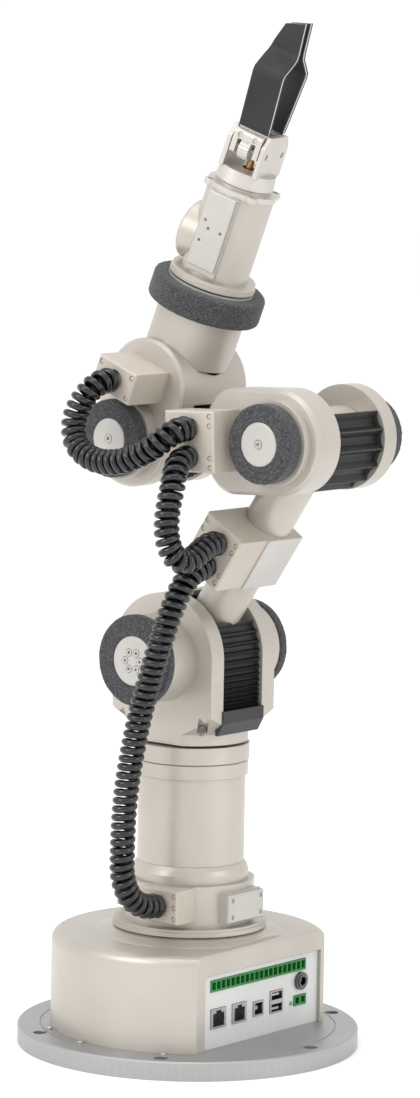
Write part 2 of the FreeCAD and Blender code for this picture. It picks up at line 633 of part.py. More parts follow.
def build_forearm():
    left, right = build_elbow_housing()
    yoke = box(-16, 16, -ELBOW_LEFT_IN - 0.1, ELBOW_RIGHT_IN + 0.1, 41, 60)
    web = box(-16, 16, ELBOW_RIGHT_IN, ELBOW_CHEEK_OUT, 20, 60)
    housing = left.fuse(right).fuse(yoke).fuse(web)
    save("elbow_housing", on_forearm(housing.removeSplitter()))
    save("elbow_motor", on_forearm(gearmotor(*ELBOW_MOTOR, ELBOW_SHAFT_END)))
    hub = cylinder_y(19.0, -WRIST_WINDOW + BODY_GAP, WRIST_WINDOW - BODY_GAP, 0, FOREARM_LENGTH)
    shaft = cylinder_y(WRIST_SHAFT_R, -WRIST_SHAFT_END, WRIST_SHAFT_END, 0, FOREARM_LENGTH)
    tube = cylinder(ARM_TUBE_R, 60, FOREARM_LENGTH - 10).common(box(-30, 30, -19, 19, 0, 200))
    save("forearm_link", on_forearm(tube.fuse(hub).fuse(shaft).removeSplitter()))
    band = cylinder_y(ELBOW_R - 0.5, -ELBOW_LEFT_IN + 0.1, ELBOW_RIGHT_IN - 0.1)
    band = band.cut(cylinder_y(ELBOW_R - 8.0, -ELBOW_LEFT_IN, ELBOW_RIGHT_IN))
    yoke_space = box(-17, 17, -40, 50, 0, 70)
    arm_lean = math.radians(180 + UPPER_ARM_LEAN - FOREARM_LEAN)
    towards_shoulder = V(math.sin(arm_lean), 0, math.cos(arm_lean))
    arm_space = Part.makeCylinder(ARM_TUBE_R + BODY_GAP, 60, ORIGIN, towards_shoulder)
    pieces = band.cut(yoke_space).cut(arm_space)
    save("elbow_bellows", *[on_forearm(piece) for piece in pieces.Solids])
    pads = build_pads(ELBOW_PAD_R, ELBOW_BOSS_OUT, ELBOW_PAD_OUT, ELBOW_CAP_R)
    save("elbow_foam_pads", *[on_forearm(pad) for pad in pads])
    cap = build_cap(ELBOW_CAP_R, ELBOW_BOSS_OUT, 63.9, 0.0, 1, 3.0)
    save("elbow_caps", on_forearm(cap), on_forearm(mirror_y(cap)))
    screws = build_cap_screws(63.9, 0.0, 1, 3.0)
    save("elbow_cap_screws", *[on_forearm(s) for s in screws], *[on_forearm(mirror_y(s)) for s in screws])
    x0, x1, y0, y1, z0, z1 = FOREARM_BOX
    screws = [(x1 - 3.5, z0 + 3.5), (x0 + 3.5, z0 + 3.5), (x0 + 10, z0 + 3.5), (x1 - 10, z0 + 3.5)]
    shell = build_cable_box(FOREARM_BOX, FOREARM_PORTS, screws)
    boss = cylinder_y(ELBOW_PAD_R + 2.6, -ELBOW_BOSS_OUT - 1, -ELBOW_CHEEK_OUT + 2)
    save("forearm_cable_box", on_forearm(shell.cut(left).cut(boss)))


# ---------------------------------------------------------------- wrist and hand

WRIST_SHAFT_END = WRIST_HALF_Y + 4
WRIST_SHAFT_R = ARM_SHAFT_R - 1
WRIST_MOTOR = (22.0, -46.0, -25.0)


def on_side_faces(edge):
    return flat_at("Y", -WRIST_HALF_Y)(edge) or flat_at("Y", WRIST_HALF_Y)(edge)


def build_wrist_housing():
    body = cylinder_y(WRIST_R, -WRIST_HALF_Y, WRIST_HALF_Y)
    body = body.fuse(box(-WRIST_R, WRIST_R, -WRIST_HALF_Y, WRIST_HALF_Y, 0, 42))
    dome = cylinder_y(WRIST_R, -WRIST_HALF_Y, WRIST_HALF_Y, 0, 38)
    body = body.fuse(dome).removeSplitter()
    body = bevel_edges(body, 2.0, on_side_faces)
    body = body.fuse(cylinder_y(WRIST_PAD_R + 1.5, -WRIST_PAD_IN, WRIST_PAD_IN)).removeSplitter()
    slot = box(-60, 60, -WRIST_WINDOW, WRIST_WINDOW, -60, 40)
    body = body.cut(slot)
    bore = cylinder_y(WRIST_SHAFT_R + RUNNING_GAP, -WRIST_SHAFT_END - 1, WRIST_SHAFT_END + 1)
    body = body.cut(bore).cut(cylinder_y(*WRIST_MOTOR))
    return body.cut(cylinder(HAND_TUBE_R - 3, 50, 90)).cut(box(*WRIST_BOX))


def build_hand():
    save("wrist_housing", on_hand(build_wrist_housing()))
    save("wrist_motor", on_hand(gearmotor(*WRIST_MOTOR, WRIST_SHAFT_END)))
    reach = WRIST_WINDOW - 0.4
    front = arc_band(33.5, 27.0, -reach, reach, 64, 80)
    rear = arc_band(33.5, 27.0, -reach, reach, 100, 222)
    under = arc_band(33.5, 27.0, -reach, reach, -75, -16)
    save("wrist_bellows", on_hand(front), on_hand(rear), on_hand(under))
    pads = build_pads(WRIST_PAD_R, WRIST_PAD_IN, WRIST_PAD_OUT, WRIST_CAP_R)
    save("wrist_foam_pads", *[on_hand(pad) for pad in pads])
    cap = build_cap(WRIST_CAP_R, WRIST_PAD_IN, 57.2, 0.0, 1, 3.0)
    save("wrist_caps", on_hand(cap), on_hand(mirror_y(cap)))
    screws = build_cap_screws(57.2, 0.0, 1, 3.0)
    save("wrist_cap_screws", *[on_hand(s) for s in screws], *[on_hand(mirror_y(s)) for s in screws])
    x0, x1, y0, y1, z0, z1 = WRIST_BOX
    screws = [(x1 - 3.5, z0 + 4), (x1 - 3.5, z1 - 4), (x0 + 3.5, z1 - 4)]
    save("wrist_cable_box", on_hand(build_cable_box(WRIST_BOX, [WRIST_PORT], screws)))
    tube = cylinder(HAND_TUBE_R, WRIST_TOP - 4, HAND_TUBE_TOP)
    tube = tube.cut(cylinder(HAND_TUBE_R - 3, 40, HAND_TUBE_TOP - 4))
    dome = cylinder_y(WRIST_R, -80, 80, 0, 38).fuse(box(-WRIST_R, WRIST_R, -80, 80, 0, 40))
    bore = cylinder(10.0 + RUNNING_GAP, HAND_TUBE_TOP - 5, HAND_TUBE_TOP + 1)
    save("hand_tube", on_hand(tube.cut(dome).cut(bore).removeSplitter()))
    foam = turned([(HAND_TUBE_R + 0.02, FOAM_RING_LOW), (FOAM_RING_R - 1.5, FOAM_RING_LOW),
                   (FOAM_RING_R, FOAM_RING_LOW + 1.5), (FOAM_RING_R, FOAM_RING_HIGH - 1.5),
                   (FOAM_RING_R - 1.5, FOAM_RING_HIGH), (HAND_TUBE_R + 0.02, FOAM_RING_HIGH)])
    save("hand_foam_ring", on_hand(foam))


# ---------------------------------------------------------------- gripper

def build_barrel():
    low_flange = cylinder(HAND_TUBE_R, BARREL_LOW, BARREL_LOW + 2.5)
    step = cylinder(HAND_TUBE_R - 1.0, BARREL_LOW + 2.5, BARREL_LOW + 5.5)
    barrel = cylinder(BARREL_R, BARREL_LOW, BARREL_TOP)
    seat = box(-12, 12, -BARREL_R - 2, -BARREL_R + 6, BARREL_LOW + 8, BARREL_TOP)
    pod = cylinder_x(POD_R, -POD_REACH, 0, 0, POD_HEIGHT)
    pod = round_edges(pod, 3.0, flat_at("X", -POD_REACH))
    body = low_flange.fuse(step).fuse(barrel).fuse(pod).fuse(seat)
    flat = box(-40, 40, -60, -BARREL_R - 0.8, BARREL_LOW + 8, BARREL_TOP + 1)
    body = body.cut(flat)
    hollow = cylinder(BARREL_R - 3, BARREL_LOW + 6, BARREL_TOP - 3)
    shaft = cylinder(10.0, HAND_TUBE_TOP - 4, BARREL_LOW + 0.1)
    return body.cut(hollow).fuse(shaft).removeSplitter()


def build_barrel_ring():
    rim = ring(BARREL_R + 1.0, 8, BARREL_TOP, BARREL_TOP + 4.0)
    for k in range(4):
        spot = polar(BARREL_R, 45 + 90 * k)
        lobe = cylinder(4.2, BARREL_TOP, BARREL_TOP + 4.0, spot.x, spot.y)
        rim = rim.fuse(lobe)
        rim = rim.cut(cylinder(2.4, BARREL_TOP + 2.2, BARREL_TOP + 5, spot.x, spot.y))
    return rim.removeSplitter()


def build_gripper_body():
    low = BARREL_TOP + 4.0
    cone = turned([(0, low), (19.5, low), (19.5, low + 1.5), (21, low + 3), (20.0, low + 13), (0, low + 13)])
    top = low + 12.0
    half = FINGER_HALF_WIDTH + 0.5
    outline = [(-17.5, top), (17.5, top), (17.0, GRIPPER_TOP - 8), (12, GRIPPER_TOP), (-12, GRIPPER_TOP),
               (-17.0, GRIPPER_TOP - 8)]
    cheek_corners = [V(half, y, z) for y, z in outline]
    face = Part.Face(Part.makePolygon(cheek_corners + cheek_corners[:1]))
    cheek = face.extrude(V(3.2, 0, 0))
    body = cone.fuse(cheek).fuse(cheek.mirror(ORIGIN, AXIS_X))
    body = body.cut(cylinder(WORM_R + 1.6, low - 1, low + 20))
    for side in (-1, 1):
        well = cylinder_x(9.2, -half, half, side * FINGER_PIN_Y, FINGER_PIN_Z)
        body = body.cut(well)
        bore = cylinder_x(2.0 + RUNNING_GAP, -half - 5, half + 5, side * FINGER_PIN_Y, FINGER_PIN_Z)
        body = body.cut(bore)
    return body.removeSplitter()


def build_worm():
    low = BARREL_TOP + 1.0
    core = cylinder(WORM_R - 0.8, low, 226.0)
    for k in range(7):
        base = 210.5 + k * 2.1
        core = core.fuse(turned([(1.0, base), (WORM_R - 0.9, base), (WORM_R, base + 0.6),
                                 (WORM_R, base + 1.1), (WORM_R - 0.9, base + 1.7), (1.0, base + 1.7)]))
    return core.removeSplitter()


FINGER_LINE = ((9.6, 229.0), (16.2, 274.0), (15.6, 277.5), (4.2, 288.0), (3.2, 292.0), (3.2, FINGER_TIP + 6))
FINGER_ROOT = 232.0
PAD_START = (10.26, 233.5)                 # on the finger's line, above the carrier
SHEET_T = 1.3
PAD_IN_T = 1.7
PAD_OUT_T = 1.8
WORM_GAP = 0.3
WHEEL_HALF = 4.0
WHEEL_TEETH = 18


def offset_band(line, inner, outer, half_width):
    """A bent strip on one side of a finger's line, between two sideways offsets."""
    outline = [V(0, y + inner, z) for y, z in line]
    outline += [V(0, y + outer, z) for y, z in reversed(line)]
    face = Part.Face(Part.makePolygon(outline + outline[:1]))
    return face.extrude(V(2 * half_width, 0, 0)).translated(V(-half_width, 0, 0))


def finger_trim():
    """The finger's outline seen from the side: parallel, then narrowing to a slanted tip."""
    w = FINGER_HALF_WIDTH
    outline = [(-w, 200), (w, 200), (w, 285), (w - 2.8, FINGER_TIP + 2.2), (-w + 6.6, FINGER_TIP - 2.4),
               (-w + 2.4, 297), (-w, 287)]
    corners = [V(x, -40, z) for x, z in outline]
    face = Part.Face(Part.makePolygon(corners + corners[:1]))
    return face.extrude(V(0, 80, 0))


def build_wheel():
    """The worm wheel that turns a finger, notched all round for its teeth."""
    reach = FINGER_PIN_Y - WORM_R - WORM_GAP
    wheel = cylinder_x(reach, -WHEEL_HALF, WHEEL_HALF, FINGER_PIN_Y, FINGER_PIN_Z)
    for k in range(WHEEL_TEETH):
        angle = 2 * math.pi * k / WHEEL_TEETH
        y = FINGER_PIN_Y + reach * math.cos(angle)
        z = FINGER_PIN_Z + reach * math.sin(angle)
        wheel = wheel.cut(cylinder_x(0.45, -WHEEL_HALF - 1, WHEEL_HALF + 1, y, z))
    return wheel


def build_finger(side):
    """One finger's four solids, for the side of the gripper given as +1 or -1 along Y."""
    trim = finger_trim()
    sheet = offset_band(FINGER_LINE, 0, SHEET_T, FINGER_HALF_WIDTH).common(trim)
    pad_line = (PAD_START,) + FINGER_LINE[1:]
    inner = offset_band(pad_line, -PAD_IN_T, 0, FINGER_HALF_WIDTH).common(trim)
    outer = offset_band(pad_line, SHEET_T, SHEET_T + PAD_OUT_T, FINGER_HALF_WIDTH).common(trim)
    half = FINGER_HALF_WIDTH - 0.3
    block = box(-half, half, 5.0, 17.0, FINGER_PIN_Z + 6.0, FINGER_ROOT)
    block = round_edges(block, 3.0, lambda edge: edge.BoundBox.XLength > 15
                        and abs(edge.BoundBox.YMin - 17.0) < 0.05 and edge.BoundBox.ZMax > FINGER_ROOT - 1)
    low_arm = box(-half, -half + 4, 6.0, 17.0, FINGER_PIN_Z - 4, FINGER_ROOT - 4)
    high_arm = box(half - 4, half, 6.0, 17.0, FINGER_PIN_Z - 4, FINGER_ROOT - 4)
    stem = box(-WHEEL_HALF, WHEEL_HALF, 7.5, 15.5, FINGER_PIN_Z, FINGER_ROOT - 4)
    pin = cylinder_x(2.0, -half - 3.0, half + 3.0, FINGER_PIN_Y, FINGER_PIN_Z)
    carrier = block.fuse(low_arm).fuse(high_arm).fuse(stem).fuse(build_wheel()).fuse(pin).removeSplitter()
    carrier = carrier.cut(sheet).cut(inner).cut(outer)
    for x in (-6, 6):
        carrier = carrier.cut(cylinder_y(2.2, 16.0, 18.0, x, FINGER_ROOT - 4))
    largest = max(carrier.Solids, key=lambda solid: solid.Volume)
    pieces = [largest, sheet, inner, outer]
    if side < 0:
        pieces = [mirror_y(piece) for piece in pieces]
    return [on_gripper(piece) for piece in pieces]


def build_gripper():
    save("roll_barrel", on_gripper(build_barrel()))
    cover = box(-11, 11, -BARREL_R - 2.6, -BARREL_R - 0.9, BARREL_LOW + 12, BARREL_TOP - 1)
    for x, z in ((-7, 165), (-3, 160), (-7, 150), (7, 160)):
        cover = cover.cut(cylinder_y(0.9, -40, -10, x, z))
    save("barrel_cover_plate", on_gripper(bevel_edges(cover, 0.5, flat_at("Y", -BARREL_R - 2.6))))
    save("barrel_ring", on_gripper(build_barrel_ring()))
    motor = cylinder(11, BARREL_LOW + 14, BARREL_TOP - 12).fuse(cylinder(14, BARREL_TOP - 12, BARREL_TOP - 3))
    save("gripper_motor", on_gripper(motor.removeSplitter()))
    save("gripper_body", on_gripper(build_gripper_body()))
    save("worm", on_gripper(build_worm()))
    for name, side in (("right", 1), ("left", -1)):
        carrier, sheet, inner, outer = build_finger(side)
        save("finger_carrier_" + name, carrier)
        save("finger_blade_" + name, sheet)
        save("finger_pads_" + name, inner, outer)


# ---------------------------------------------------------------- coiled leads

def lead_tube(name, points):
    """Outer shape of a coiled lead: straight runs joined by tangent arcs, as one fat tube."""
    points = [V(*point) for point in points]
    edges = []
    cursor = points[0]
    radii = []
    for before, corner, after in zip(points, points[1:], points[2:]):
        back = before - corner
        ahead = after - corner
        run_in = back.Length
        run_out = ahead.Length
        back.normalize()
        ahead.normalize()
        turn = math.pi - back.getAngle(ahead)
        setback = 0.45 * min(run_in, run_out)
        radius = setback / math.tan(turn / 2)
        radii.append(round(radius, 1))
        start = corner + back * setback
        end = corner + ahead * setback
        middle_dir = back + ahead
        middle_dir.normalize()
        centre = corner + middle_dir * (radius / math.cos(turn / 2))
        middle = centre - middle_dir * radius
        edges.append(Part.LineSegment(cursor, start).toShape())
        edges.append(Part.Arc(start, middle, end).toShape())
        cursor = end
    edges.append(Part.LineSegment(cursor, points[-1]).toShape())
    path = Part.Wire(edges)
    first = points[1] - points[0]
    section = Part.Wire(Part.Circle(points[0], first, COIL_R).toShape())
    tube = path.makePipeShell([section], True, True)
    ratio = tube.Volume / (math.pi * COIL_R ** 2 * path.Length)
    print(name, "radii", radii, "length", round(path.Length, 1), "volume ratio", round(ratio, 4))
    save(name, tube)


# Routes run from port to port. The two parts of the lead up the side meet in line, beside the turret.
LEADS = {
    "lead_base_lower": (
        (15.5, -53.0, 108.5), (15.5, -66.5, 108.5), (13.0, -80.5, 115.5), (12.5, -90.0, 132.0),
        (14.5, -92.0, 156.0), (15.5, -92.0, 181.0), (18.0, -91.0, 207.0), (21.5, -89.8, 227.0)),
    "lead_base_upper": (
        (21.5, -89.8, 227.0), (25.0, -88.6, 247.0), (33.0, -87.8, 272.5), (41.0, -86.5, 299.0),
        (46.5, -82.5, 321.0), (50.0, -74.0, 339.5), (51.5, -62.0, 349.7), (51.5, -48.0, 349.7)),
    "lead_upper_arm": (
        (60.6, -48.0, 367.0), (60.6, -60.0, 367.0), (61.5, -72.0, 361.5), (62.0, -84.0, 356.0),
        (59.5, -94.5, 359.0), (56.5, -99.5, 371.0), (55.5, -99.5, 385.0), (56.5, -98.0, 398.5),
        (57.0, -95.0, 408.5), (55.0, -90.5, 419.5), (52.9, -81.5, 426.8), (52.9, -72.0, 426.8)),
    "lead_forearm": (
        (52.0, -72.0, 446.7), (52.0, -82.0, 446.7), (50.5, -91.0, 443.5), (44.5, -96.5, 436.5),
        (32.0, -98.5, 429.0), (13.0, -99.5, 422.0), (-10.0, -98.5, 421.0), (-28.5, -97.5, 430.0),
        (-32.0, -97.0, 446.0), (-27.0, -95.5, 460.0), (-20.5, -91.0, 470.5), (-16.9, -82.5, 475.8),
        (-16.9, -72.0, 475.8)),
}


def build_leads():
    for name, points in LEADS.items():
        lead_tube(name, points)


if __name__ == "__main__":
    os.makedirs("parts", exist_ok=True)
    build_base()
    build_turret()
    build_upper_arm()
    build_forearm()
    build_hand()
    build_gripper()
    build_leads()
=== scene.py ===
import json
import math

import bpy
from mathutils import Matrix, Vector, noise


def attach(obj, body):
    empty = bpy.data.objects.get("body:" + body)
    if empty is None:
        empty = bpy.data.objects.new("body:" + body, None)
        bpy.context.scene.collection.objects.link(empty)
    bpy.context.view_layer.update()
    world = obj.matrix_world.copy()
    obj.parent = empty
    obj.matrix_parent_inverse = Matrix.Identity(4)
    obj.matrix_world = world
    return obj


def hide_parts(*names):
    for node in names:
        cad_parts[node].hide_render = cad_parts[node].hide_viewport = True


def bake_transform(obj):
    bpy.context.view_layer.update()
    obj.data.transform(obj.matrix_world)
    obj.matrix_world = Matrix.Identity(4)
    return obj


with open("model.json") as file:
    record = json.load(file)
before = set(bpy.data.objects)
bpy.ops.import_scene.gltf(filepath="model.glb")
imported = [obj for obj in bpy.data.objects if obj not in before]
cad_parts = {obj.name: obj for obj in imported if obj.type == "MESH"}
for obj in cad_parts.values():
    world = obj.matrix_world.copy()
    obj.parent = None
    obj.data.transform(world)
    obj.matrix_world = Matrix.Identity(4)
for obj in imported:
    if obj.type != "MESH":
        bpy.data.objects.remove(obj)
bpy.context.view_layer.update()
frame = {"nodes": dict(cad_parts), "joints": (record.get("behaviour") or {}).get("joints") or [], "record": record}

MM = 0.001
JOINTS = {joint["name"]: joint for joint in frame["joints"]}
SHOULDER = Vector(JOINTS["shoulder_pitch"]["pos_m"])
ELBOW = Vector(JOINTS["elbow_pitch"]["pos_m"])
WRIST = Vector(JOINTS["wrist_pitch"]["pos_m"])
HAND_AXIS = Vector(JOINTS["gripper_roll"]["axis"]).normalized()
AXIS_Y = Vector((0, 1, 0))


def link_frame(joint, direction):
    """Local axes of a link: Z along it, Y the row's Y, X across it, with its joint as origin."""
    z = direction.normalized()
    x = AXIS_Y.cross(z).normalized()
    matrix = Matrix((x, AXIS_Y, z)).transposed().to_4x4()
    matrix.translation = joint
    return matrix


TURRET_FRAME = link_frame(SHOULDER, Vector((0, 0, 1)))
ARM_FRAME = link_frame(SHOULDER, ELBOW - SHOULDER)
FOREARM_FRAME = link_frame(ELBOW, WRIST - ELBOW)
HAND_FRAME = link_frame(WRIST, HAND_AXIS)


# ---------------------------------------------------------------- materials

CUTTER_LINE_STRETCH = (1.0, 1.0, 14.0)
CUTTER_LINE_SCALE = 220.0


def new_material(name, roughness=0.5, metallic=0.0, specular=0.5, coat=0.0, coat_roughness=0.1):
    material = bpy.data.materials.new(name)
    material.use_nodes = True
    shader = material.node_tree.nodes["Principled BSDF"]
    shader.inputs["Roughness"].default_value = roughness
    shader.inputs["Metallic"].default_value = metallic
    shader.inputs["Specular IOR Level"].default_value = specular
    shader.inputs["Coat Weight"].default_value = coat
    shader.inputs["Coat Roughness"].default_value = coat_roughness
    return material, material.node_tree, shader


def noise_field(tree, scale, detail=3.0, roughness=0.5):
    coordinates = tree.nodes.new("ShaderNodeTexCoord")
    field = tree.nodes.new("ShaderNodeTexNoise")
    field.inputs["Scale"].default_value = scale
    field.inputs["Detail"].default_value = detail
    field.inputs["Roughness"].default_value = roughness
    tree.links.new(coordinates.outputs["Object"], field.inputs["Vector"])
    return field


def ramp(tree, source, stops):
    """Colour ramp driven by a value output; stops are (place, colour)."""
    made = tree.nodes.new("ShaderNodeValToRGB")
    elements = made.color_ramp.elements
    while len(elements) < len(stops):
        elements.new(0.5)
    for element, (place, colour) in zip(elements, stops):
        element.position = place
        element.color = (*colour, 1.0)
    tree.links.new(source, made.inputs["Fac"])
    return made


def grey(value):
    return (value, value, value)


def colour_by_product(tree, shader, first, second):
    """Base colour as the product of two colour ramps."""
    mix = tree.nodes.new("ShaderNodeMix")
    mix.data_type = "RGBA"
    mix.blend_type = "MULTIPLY"
    mix.inputs["Factor"].default_value = 1.0
    tree.links.new(first.outputs["Color"], mix.inputs["A"])
    tree.links.new(second.outputs["Color"], mix.inputs["B"])
    tree.links.new(mix.outputs["Result"], shader.inputs["Base Color"])


def vary_roughness(tree, shader, field, low, high):
    spread = tree.nodes.new("ShaderNodeMapRange")
    spread.inputs["To Min"].default_value = low
    spread.inputs["To Max"].default_value = high
    tree.links.new(field.outputs["Fac"], spread.inputs["Value"])
    tree.links.new(spread.outputs["Result"], shader.inputs["Roughness"])


def add_bump(tree, shader, height, strength, distance, edge_radius=0.0):
    bump = tree.nodes.new("ShaderNodeBump")
    bump.inputs["Strength"].default_value = strength
    bump.inputs["Distance"].default_value = distance
    tree.links.new(height, bump.inputs["Height"])
    if edge_radius:
        edges = tree.nodes.new("ShaderNodeBevel")
        edges.samples = 4
        edges.inputs["Radius"].default_value = edge_radius
        tree.links.new(edges.outputs["Normal"], bump.inputs["Normal"])
    tree.links.new(bump.outputs["Normal"], shader.inputs["Normal"])


def coated_metal(name, dark, light, metallic=0.35):
    """Fine metallic paint: slow tone drift, a grain of flakes and a faint orange peel."""
    material, tree, shader = new_material(name, metallic=metallic, coat=0.12, coat_roughness=0.25)
    drift = noise_field(tree, 14.0, 4.0)
    tone = ramp(tree, drift.outputs["Fac"], [(0.35, dark), (0.65, light)])
    flakes = noise_field(tree, 1800.0, 2.0)
    grain = ramp(tree, flakes.outputs["Fac"], [(0.3, grey(0.93)), (0.7, grey(1.0))])
    colour_by_product(tree, shader, tone, grain)
    vary_roughness(tree, shader, noise_field(tree, 60.0), 0.34, 0.46)
    add_bump(tree, shader, noise_field(tree, 700.0).outputs["Fac"], 0.10, 0.0002, 0.0006)
    return material


def moulded_plastic(name, dark, light, roughness=(0.42, 0.55), bump=0.12, edge=0.0005, coat=0.0):
    """Moulded plastic with a fine spark-eroded grain."""
    material, tree, shader = new_material(name, specular=0.45, coat=coat)
    drift = noise_field(tree, 22.0, 3.0)
    tone = ramp(tree, drift.outputs["Fac"], [(0.3, dark), (0.7, light)])
    tree.links.new(tone.outputs["Color"], shader.inputs["Base Color"])
    vary_roughness(tree, shader, noise_field(tree, 90.0), *roughness)
    add_bump(tree, shader, noise_field(tree, 1500.0, 4.0).outputs["Fac"], bump, 0.0002, edge)
    return material


def machined_metal(name, dark, light):
    """Bare metal with the fine lines a cutter leaves."""
    material, tree, shader = new_material(name, metallic=1.0)
    coordinates = tree.nodes.new("ShaderNodeTexCoord")
    stretch = tree.nodes.new("ShaderNodeMapping")
    stretch.inputs["Scale"].default_value = CUTTER_LINE_STRETCH
    lines = tree.nodes.new("ShaderNodeTexNoise")
    lines.inputs["Scale"].default_value = CUTTER_LINE_SCALE
    lines.inputs["Detail"].default_value = 4.0
    tree.links.new(coordinates.outputs["Object"], stretch.inputs["Vector"])
    tree.links.new(stretch.outputs["Vector"], lines.inputs["Vector"])
    tone = ramp(tree, lines.outputs["Fac"], [(0.3, dark), (0.7, light)])
    tree.links.new(tone.outputs["Color"], shader.inputs["Base Color"])
    vary_roughness(tree, shader, lines, 0.25, 0.4)
    add_bump(tree, shader, lines.outputs["Fac"], 0.08, 0.0001, 0.0004)
    return material


def foam_material():
    """Open-cell foam: dark grey with painted shade in small pits and a few pale cell edges."""
    material, tree, shader = new_material("foam", roughness=0.95, specular=0.15)
    coordinates = tree.nodes.new("ShaderNodeTexCoord")
    cells = tree.nodes.new("ShaderNodeTexVoronoi")
    cells.inputs["Scale"].default_value = 900.0
    tree.links.new(coordinates.outputs["Object"], cells.inputs["Vector"])
    specks = noise_field(tree, 1100.0, 5.0, 0.75)
    tone = ramp(tree, specks.outputs["Fac"], [(0.36, grey(0.022)), (0.52, (0.060, 0.060, 0.064)),
                                              (0.66, (0.16, 0.16, 0.17))])
    # painted shade: darker towards each cell's middle, as if in a pit, lighter towards the cell edges
    painted_pit_shade = ramp(tree, cells.outputs["Distance"], [(0.0, grey(0.55)), (0.5, grey(1.0))])
    colour_by_product(tree, shader, tone, painted_pit_shade)
    shader.inputs["Sheen Weight"].default_value = 0.15
    add_bump(tree, shader, specks.outputs["Fac"], 0.6, 0.0006)
    return material


def bellows_material():
    """Black rubber with painted light: fold edges painted paler as a painted highlight, and painted shade down in
    the dips.
    """
    material, tree, shader = new_material("bellows_rubber", specular=0.4)
    fold_highlight_and_shade = tree.nodes.new("ShaderNodeAttribute")
    fold_highlight_and_shade.attribute_name = "fold"
    # painted highlight on the fold edges and painted shade in the dips, read from the fold value
    painted_fold_light_and_shade = ramp(tree, fold_highlight_and_shade.outputs["Fac"],
                     [(0.0, grey(0.004)), (0.75, grey(0.010)), (1.0, grey(0.10))])
    tree.links.new(painted_fold_light_and_shade.outputs["Color"], shader.inputs["Base Color"])
    vary_roughness(tree, shader, noise_field(tree, 120.0), 0.32, 0.5)
    add_bump(tree, shader, noise_field(tree, 900.0).outputs["Fac"], 0.1, 0.0002)
    return material


def plate_material():
    """Turned base plate: clear-anodised, with fine rings about the yaw axis."""
    material, tree, shader = new_material("base_plate_alloy", metallic=0.75)
    coordinates = tree.nodes.new("ShaderNodeTexCoord")
    split = tree.nodes.new("ShaderNodeSeparateXYZ")
    tree.links.new(coordinates.outputs["Object"], split.inputs["Vector"])
    flat = tree.nodes.new("ShaderNodeCombineXYZ")
    tree.links.new(split.outputs["X"], flat.inputs["X"])
    tree.links.new(split.outputs["Y"], flat.inputs["Y"])
    radius = tree.nodes.new("ShaderNodeVectorMath")
    radius.operation = "LENGTH"
    tree.links.new(flat.outputs["Vector"], radius.inputs[0])
    rings = tree.nodes.new("ShaderNodeTexNoise")
    rings.noise_dimensions = "1D"
    rings.inputs["Scale"].default_value = 2600.0
    tree.links.new(radius.outputs["Value"], rings.inputs["W"])
    tone = ramp(tree, rings.outputs["Fac"], [(0.3, grey(0.33)), (0.7, grey(0.41))])
    tree.links.new(tone.outputs["Color"], shader.inputs["Base Color"])
    vary_roughness(tree, shader, noise_field(tree, 40.0), 0.36, 0.48)
    add_bump(tree, shader, rings.outputs["Fac"], 0.05, 0.0001, 0.0005)
    return material


def build_materials():
    return {
        "painted": coated_metal("champagne_paint", (0.455, 0.420, 0.372), (0.505, 0.468, 0.418),
                                metallic=0.45),
        "cap": coated_metal("grey_paint", (0.46, 0.445, 0.415), (0.51, 0.495, 0.462)),
        "plate": plate_material(),
        "panel": coated_metal("panel_paint", (0.56, 0.56, 0.55), (0.62, 0.62, 0.61), metallic=0.1),
        "box": moulded_plastic("tan_plastic", (0.44, 0.395, 0.34), (0.50, 0.45, 0.39)),
        "terminal": moulded_plastic("green_plastic", (0.015, 0.17, 0.03), (0.025, 0.24, 0.05)),
        "steel": machined_metal("plated_steel", (0.42, 0.41, 0.40), (0.60, 0.59, 0.57)),
        "connector": machined_metal("connector_shell", (0.30, 0.30, 0.30), (0.45, 0.45, 0.45)),
        "lamp": moulded_plastic("lamp_lens", (0.05, 0.30, 0.08), (0.08, 0.42, 0.12), (0.12, 0.2),
                                bump=0.02, edge=0.0002, coat=0.5),
        "board": moulded_plastic("circuit_board", (0.01, 0.10, 0.04), (0.02, 0.15, 0.06)),
        "motor": machined_metal("motor_case", (0.10, 0.10, 0.11), (0.16, 0.16, 0.17)),
        "foam": foam_material(),
        "bellows": bellows_material(),
        "chin": moulded_plastic("chin_plastic", (0.012, 0.012, 0.016), (0.022, 0.022, 0.028),
                                (0.35, 0.45)),
        "lead": moulded_plastic("lead_sheath", (0.004, 0.004, 0.005), (0.009, 0.009, 0.011), (0.20, 0.30),
                                bump=0.03, edge=0.0, coat=0.25),
        "brass": machined_metal("worm_brass", (0.55, 0.27, 0.10), (0.74, 0.42, 0.18)),
        "gripper": coated_metal("gripper_alloy", (0.50, 0.47, 0.43), (0.57, 0.54, 0.50), metallic=0.55),
        "blade": machined_metal("blade_steel", (0.55, 0.55, 0.54), (0.72, 0.72, 0.70)),
        "pad": moulded_plastic("finger_rubber", (0.008, 0.008, 0.009), (0.018, 0.018, 0.020), (0.5, 0.7),
                               bump=0.3),
    }


MATERIALS = build_materials()
NODE_MATERIALS = {
    "shoulder_caps": "cap", "elbow_caps": "cap", "wrist_caps": "cap", "collar_covers": "cap",
    "upper_box_plate": "cap", "barrel_cover_plate": "cap", "turret_chin": "chin",
    "network_jacks": "connector", "usb_sockets": "connector", "power_jack": "motor",
}


def dress_cad():
    """Give every CAD node its finished material, by its record slot unless it has its own."""
    for entry in frame["record"]["subparts"]:
        name = entry["node"]
        material = MATERIALS[NODE_MATERIALS.get(name, entry["material_slot"])]
        piece = frame["nodes"][name]
        if not piece.material_slots:
            piece.data.materials.append(material)
        for place in piece.material_slots:
            place.material = material


# ---------------------------------------------------------------- mesh helpers

def add_piece(name, vertices, faces, material, smooth=True):
    mesh = bpy.data.meshes.new(name)
    mesh.from_pydata([tuple(v) for v in vertices], [], faces)
    mesh.update()
    mesh.materials.append(MATERIALS[material])
    for polygon in mesh.polygons:
        polygon.use_smooth = smooth
    piece = bpy.data.objects.new(name, mesh)
    bpy.context.scene.collection.objects.link(piece)
    return piece


